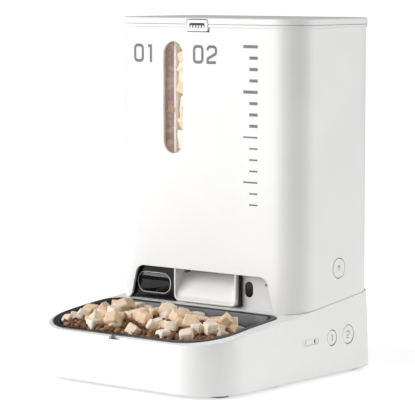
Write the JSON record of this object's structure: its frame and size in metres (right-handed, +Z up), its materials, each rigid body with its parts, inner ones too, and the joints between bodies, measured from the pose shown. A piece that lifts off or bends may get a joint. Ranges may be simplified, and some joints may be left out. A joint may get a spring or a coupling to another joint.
{
  "type": "automatic pet feeder",
  "caption": "Tall white twin-hopper pet feeder: hinged lid, level window, camera panel, food chute and a lift-out steel bowl set in its sloping base.",
  "frame": {"origin": "middle of the footprint, on the plane that the feet stand on", "axes": "+Z up, -Y towards the bowl and the camera, +X the side with the feed buttons"},
  "size_m": [0.2242, 0.2444, 0.327],
  "materials": {
    "white_abs": "satin moulded",
    "white_abs_satin": "satin moulded",
    "grey_abs": "fine texture",
    "foot_rubber": "matt",
    "screw_steel": "zinc plated",
    "black_gloss": "high gloss",
    "ring_metal": "bright",
    "smoked_lens": "clear smoked, high gloss",
    "camera_black": "matt",
    "indicator_white": "translucent satin",
    "motor_steel": "drawn can",
    "gear_acetal": "natural acetal",
    "board_green": "solder mask",
    "speaker_black": "matt",
    "jack_black": "matt",
    "bowl_steel": "satin brushed",
    "tub_frosted": "frosted",
    "window_clear": "clear polished",
    "impeller_grey": "soft silicone",
    "seal_silicone": "soft silicone",
    "cap_grey": "satin"
  },
  "bodies": {
    "base": {"base_shell": "white_abs", "base_plate": "grey_abs", "feet": "foot_rubber", "base_screws": "screw_steel", "drive_housing": "white_abs", "housing_screws": "screw_steel", "chute": "white_abs_satin", "camera_panel": "black_gloss", "camera_ring": "ring_metal", "camera_window": "smoked_lens", "camera_module": "camera_black", "sensor_window": "smoked_lens", "indicator_lens": "indicator_white", "motor_bracket": "grey_abs", "motor_1": "motor_steel", "motor_2": "motor_steel", "main_board": "board_green", "speaker": "speaker_black", "dc_jack": "jack_black", "button_board": "board_green"},
    "bowl": {"bowl": "bowl_steel"},
    "button_1": {"feed_button_1": "white_abs"},
    "button_2": {"feed_button_2": "white_abs"},
    "gear_1": {"gear_1": "gear_acetal"},
    "gear_2": {"gear_2": "gear_acetal"},
    "pinion_1": {"pinion_1": "gear_acetal"},
    "pinion_2": {"pinion_2": "gear_acetal"},
    "hopper": {"tower_shell": "white_abs", "top_collar": "white_abs", "hopper_tub": "tub_frosted", "hopper_divider": "white_abs_satin", "hopper_floor": "white_abs_satin", "window_lens": "window_clear", "lever_pins": "screw_steel", "hinge_pins": "screw_steel"},
    "impeller_1": {"impeller_1": "impeller_grey"},
    "impeller_2": {"impeller_2": "impeller_grey"},
    "lever_right": {"release_lever_right": "white_abs"},
    "lever_left": {"release_lever_left": "white_abs"},
    "lid": {"lid_cover": "white_abs", "lid_liner": "white_abs_satin", "lid_seal": "seal_silicone", "desiccant_cup": "white_abs_satin"},
    "latch": {"latch": "white_abs"},
    "desiccant_cap": {"desiccant_cap": "cap_grey"}
  },
  "joints": [
    {"name": "hopper_lift", "type": "slide", "parent": "base", "child": "hopper", "axis": [0, 0, 1], "range_m": [0, 0.3]},
    {"name": "lid_hinge", "type": "hinge", "parent": "hopper", "child": "lid", "pos_m": [0, 0.1192, 0.3175], "axis": [-1, 0, 0], "range_deg": [0, 100]},
    {"name": "latch_push", "type": "slide", "parent": "lid", "child": "latch", "axis": [0, 1, 0], "range_m": [0, 0.0022], "stiffness_N_per_m": 1500},
    {"name": "desiccant_cap_turn", "type": "hinge", "parent": "lid", "child": "desiccant_cap", "pos_m": [0.04, 0.062, 0.31], "axis": [0, 0, 1], "range_deg": [0, 45]},
    {"name": "release_right_push", "type": "hinge", "parent": "hopper", "child": "lever_right", "pos_m": [0.1032, 0.0616, 0.086], "axis": [0, -1, 0], "range_deg": [0, 4.5], "stiffness_Nm_per_rad": 1.2},
    {"name": "release_left_push", "type": "hinge", "parent": "hopper", "child": "lever_left", "pos_m": [-0.1032, 0.0616, 0.086], "axis": [0, 1, 0], "range_deg": [0, 4.5], "stiffness_Nm_per_rad": 1.2},
    {"name": "button_1_push", "type": "slide", "parent": "base", "child": "button_1", "axis": [-1, 0, 0], "range_m": [0, 0.0012], "stiffness_N_per_m": 1500},
    {"name": "button_2_push", "type": "slide", "parent": "base", "child": "button_2", "axis": [-1, 0, 0], "range_m": [0, 0.0012], "stiffness_N_per_m": 1500},
    {"name": "bowl_lift", "type": "slide", "parent": "base", "child": "bowl", "axis": [0, 0, 1], "range_m": [0, 0.12]},
    {"name": "gear_1_spin", "type": "hinge", "parent": "base", "child": "gear_1", "pos_m": [-0.071, 0.0585, 0.09], "axis": [0, 0, 1], "continuous": true},
    {"name": "gear_2_spin", "type": "hinge", "parent": "base", "child": "gear_2", "pos_m": [0.033, 0.0585, 0.09], "axis": [0, 0, 1], "continuous": true},
    {"name": "pinion_1_spin", "type": "hinge", "parent": "base", "child": "pinion_1", "pos_m": [-0.071, 0.0885, 0.09], "axis": [0, 0, 1], "continuous": true},
    {"name": "pinion_2_spin", "type": "hinge", "parent": "base", "child": "pinion_2", "pos_m": [0.033, 0.0885, 0.09], "axis": [0, 0, 1], "continuous": true},
    {"name": "impeller_1_spin", "type": "hinge", "parent": "hopper", "child": "impeller_1", "pos_m": [-0.071, 0.0585, 0.125], "axis": [0, 0, 1], "continuous": true},
    {"name": "impeller_2_spin", "type": "hinge", "parent": "hopper", "child": "impeller_2", "pos_m": [0.033, 0.0585, 0.125], "axis": [0, 0, 1], "continuous": true}
  ],
  "couplings": [
    {"joint": "pinion_1_spin", "follows": "gear_1_spin", "ratio": -3},
    {"joint": "impeller_1_spin", "follows": "gear_1_spin", "ratio": 1},
    {"joint": "pinion_2_spin", "follows": "gear_2_spin", "ratio": -3},
    {"joint": "impeller_2_spin", "follows": "gear_2_spin", "ratio": 1}
  ]
}
